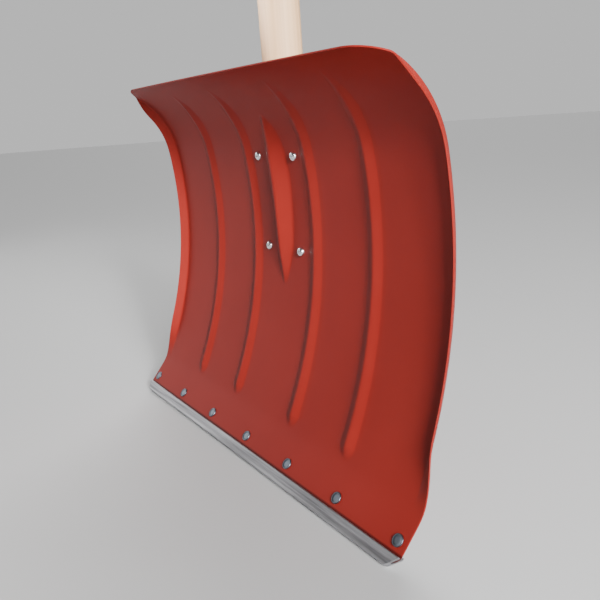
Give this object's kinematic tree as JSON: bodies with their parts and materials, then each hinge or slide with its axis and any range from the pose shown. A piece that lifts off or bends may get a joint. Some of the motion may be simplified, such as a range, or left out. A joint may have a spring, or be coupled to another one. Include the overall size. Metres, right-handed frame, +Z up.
{
  "type": "snow shovel",
  "caption": "Snow shovel with a wide curved sheet-metal blade, pressed ribs, folded sides, a riveted wear strip and a straight round wooden handle in a rear bracket.",
  "frame": {"origin": "middle of the narrow flat of the wear strip that scrapes the ground", "axes": "+Z up along the handle, +X to the right of someone facing the hollow of the blade, the hollow facing -Y"},
  "size_m": [0.5002, 0.1134, 1.3754],
  "materials": {
    "blade_paint": "semi-gloss",
    "strip_metal": "satin",
    "rivet_metal": "satin",
    "handle_wood": "matte",
    "bracket_metal": "galvanised",
    "fastener_metal": "bright"
  },
  "bodies": {
    "root": {"blade": "blade_paint", "wear_strip": "strip_metal", "edge_rivet_1": "rivet_metal", "edge_rivet_2": "rivet_metal", "edge_rivet_3": "rivet_metal", "edge_rivet_4": "rivet_metal", "edge_rivet_5": "rivet_metal", "edge_rivet_6": "rivet_metal", "edge_rivet_7": "rivet_metal", "handle": "handle_wood", "handle_bracket": "bracket_metal", "bracket_screw_1": "fastener_metal", "bracket_screw_2": "fastener_metal", "bracket_screw_3": "fastener_metal", "bracket_screw_4": "fastener_metal", "bracket_washer_1": "fastener_metal", "bracket_washer_2": "fastener_metal", "bracket_washer_3": "fastener_metal", "bracket_washer_4": "fastener_metal", "bracket_nut_1": "fastener_metal", "bracket_nut_2": "fastener_metal", "bracket_nut_3": "fastener_metal", "bracket_nut_4": "fastener_metal", "handle_screw_1": "fastener_metal", "handle_screw_2": "fastener_metal"}
  },
  "joints": []
}
